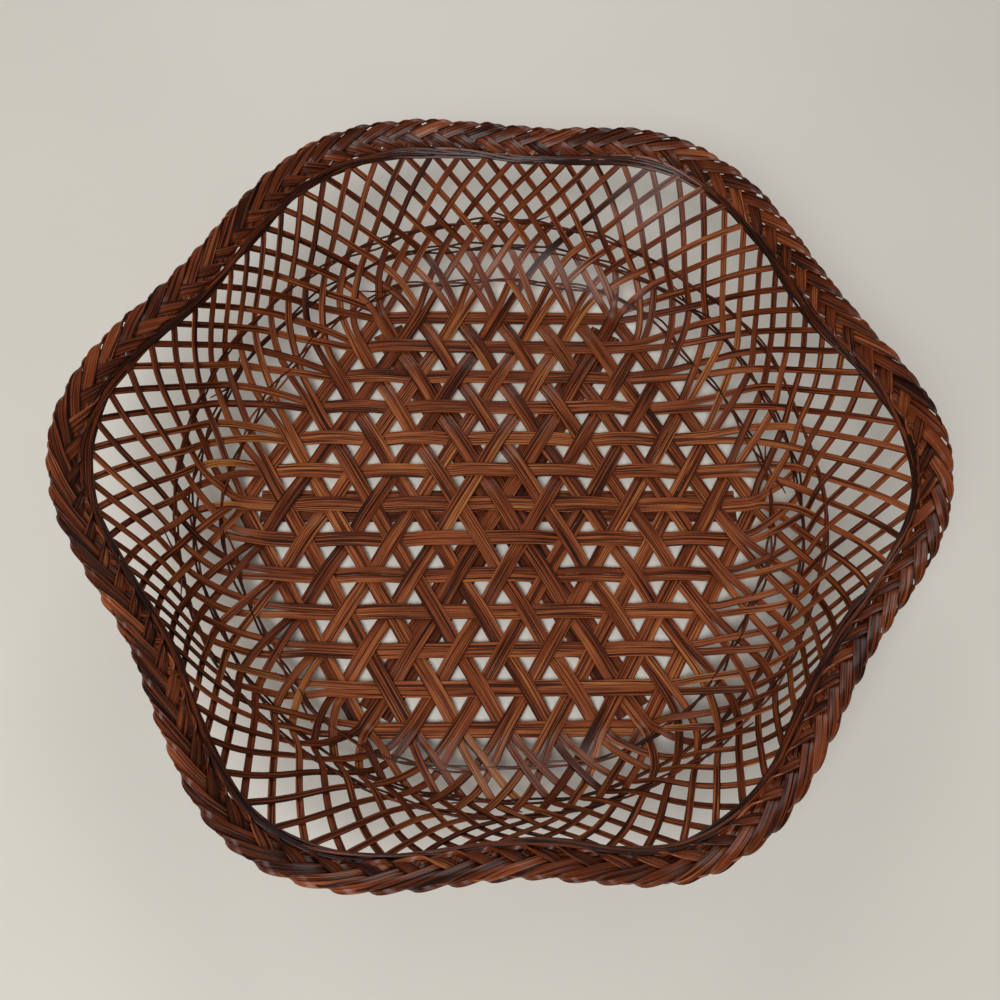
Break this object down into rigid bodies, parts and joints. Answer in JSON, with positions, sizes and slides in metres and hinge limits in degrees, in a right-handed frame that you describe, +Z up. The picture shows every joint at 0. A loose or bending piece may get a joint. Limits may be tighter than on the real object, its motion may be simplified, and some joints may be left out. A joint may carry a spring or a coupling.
{
  "type": "bamboo basket",
  "caption": "Shallow round-cornered bamboo basket with a triaxial woven hexagonal base, an open lattice wall and a wide plaited lobed rim.",
  "frame": {"origin": "on the surface that the basket stands on, below the middle of its outline", "axes": "+Z up; +X along the first row of weavers and towards one corner of the hexagonal base"},
  "size_m": [0.348, 0.3238, 0.0662],
  "materials": {
    "smoked_splint": "satin lacquer over smoked bamboo",
    "base_slat": "satin lacquer over smoked bamboo",
    "rim_splint": "glossy lacquer over smoked bamboo",
    "dark_binding": "dark smoked bamboo"
  },
  "bodies": {
    "root": {"base_slat_east_1": "base_slat", "base_slat_east_2": "base_slat", "base_slat_east_3": "base_slat", "base_slat_northeast_1": "base_slat", "base_slat_northeast_2": "base_slat", "base_slat_northeast_3": "base_slat", "base_slat_northwest_1": "base_slat", "base_slat_northwest_2": "base_slat", "base_slat_northwest_3": "base_slat", "rim_binder_1": "dark_binding", "rim_binder_2": "dark_binding", "rim_plait_strand_1": "rim_splint", "rim_plait_strand_2": "rim_splint", "rim_plait_strand_3": "rim_splint", "wall_hoop_lower": "dark_binding", "wall_hoop_middle": "dark_binding", "wall_hoop_upper": "dark_binding", "weaver_east_01": "smoked_splint", "weaver_east_02": "smoked_splint", "weaver_east_03": "smoked_splint", "weaver_east_04": "smoked_splint", "weaver_east_05": "smoked_splint", "weaver_east_06": "smoked_splint", "weaver_east_07": "smoked_splint", "weaver_east_08": "smoked_splint", "weaver_east_09": "smoked_splint", "weaver_east_10": "smoked_splint", "weaver_east_11": "smoked_splint", "weaver_east_12": "smoked_splint", "weaver_east_13": "smoked_splint", "weaver_northeast_01": "smoked_splint", "weaver_northeast_02": "smoked_splint", "weaver_northeast_03": "smoked_splint", "weaver_northeast_04": "smoked_splint", "weaver_northeast_05": "smoked_splint", "weaver_northeast_06": "smoked_splint", "weaver_northeast_07": "smoked_splint", "weaver_northeast_08": "smoked_splint", "weaver_northeast_09": "smoked_splint", "weaver_northeast_10": "smoked_splint", "weaver_northeast_11": "smoked_splint", "weaver_northeast_12": "smoked_splint", "weaver_northeast_13": "smoked_splint", "weaver_northwest_01": "smoked_splint", "weaver_northwest_02": "smoked_splint", "weaver_northwest_03": "smoked_splint", "weaver_northwest_04": "smoked_splint", "weaver_northwest_05": "smoked_splint", "weaver_northwest_06": "smoked_splint", "weaver_northwest_07": "smoked_splint", "weaver_northwest_08": "smoked_splint", "weaver_northwest_09": "smoked_splint", "weaver_northwest_10": "smoked_splint", "weaver_northwest_11": "smoked_splint", "weaver_northwest_12": "smoked_splint", "weaver_northwest_13": "smoked_splint"}
  },
  "joints": []
}
